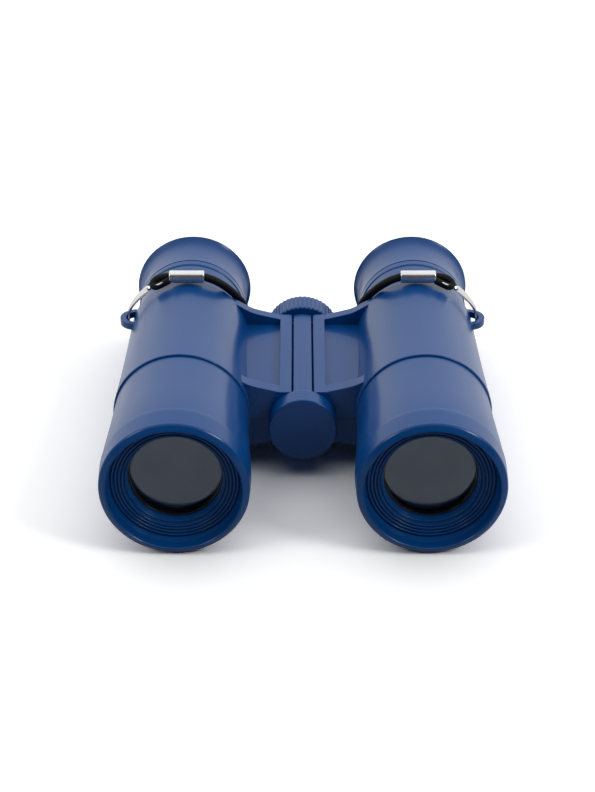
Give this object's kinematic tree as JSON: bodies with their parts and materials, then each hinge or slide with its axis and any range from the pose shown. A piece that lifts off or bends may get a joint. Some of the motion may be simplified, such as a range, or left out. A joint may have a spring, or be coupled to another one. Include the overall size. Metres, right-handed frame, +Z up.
{
  "type": "binoculars",
  "caption": "Small fixed-bridge field glasses in dark blue plastic: two tapered barrels, arched bridge, focus column and ribbed wheel, with a black neck cord laid up behind.",
  "frame": {"origin": "centre of the bounding box of the glasses without the neck cord, at the height of the lowest point of the two objective flares", "axes": "+X across towards the glasses' right as seen in front, +Y along the barrels from the objectives to the eyecups, +Z up; the barrels are level"},
  "size_m": [0.1024, 0.1241, 0.0393],
  "materials": {
    "blue_plastic": "satin moulded",
    "black_plastic": "matt",
    "white_acetal": "plain",
    "steel": "zinc plated",
    "bright_wire": "bright plated",
    "aluminium": "satin",
    "cord": "braided",
    "lens_glass": "polished"
  },
  "bodies": {
    "glasses": {"main_body": "blue_plastic", "bridge_bottom_cover": "blue_plastic", "cover_screws": "steel", "center_column": "blue_plastic", "column_bush": "white_acetal", "objective_housing_left": "blue_plastic", "objective_cell_left": "black_plastic", "objective_lens_left": "lens_glass", "objective_retainer_left": "black_plastic", "strap_hook_left": "bright_wire", "hook_gate_left": "bright_wire", "cord_loop_left": "cord", "crimp_sleeve_left": "aluminium", "neck_cord_left": "cord", "objective_housing_right": "blue_plastic", "objective_cell_right": "black_plastic", "objective_lens_right": "lens_glass", "objective_retainer_right": "black_plastic", "strap_hook_right": "bright_wire", "hook_gate_right": "bright_wire", "cord_loop_right": "cord", "crimp_sleeve_right": "aluminium", "neck_cord_right": "cord", "neck_cord_coil": "cord", "coil_tie": "black_plastic"},
    "focus_drive": {"focus_wheel": "blue_plastic", "focus_screw": "steel", "wheel_screw": "steel", "screw_circlip": "steel"},
    "eyepieces": {"focus_yoke": "white_acetal", "eyepiece_tube_left": "blue_plastic", "eyepiece_tube_right": "blue_plastic", "eyecup_left": "blue_plastic", "eyecup_right": "blue_plastic", "ocular_lens_left": "lens_glass", "ocular_lens_right": "lens_glass", "ocular_retainer_left": "black_plastic", "ocular_retainer_right": "black_plastic"}
  },
  "joints": [
    {"name": "focus_turn", "type": "hinge", "parent": "glasses", "child": "focus_drive", "pos_m": [0, 0.03383, 0.0156], "axis": [0, 1, 0], "range_deg": [-480, 0]},
    {"name": "eyepiece_slide", "type": "slide", "parent": "glasses", "child": "eyepieces", "axis": [0, 1, 0], "range_m": [0, 0.008]}
  ],
  "couplings": [
    {"joint": "focus_turn", "follows": "eyepiece_slide", "rad_per_m": -1047.2}
  ]
}
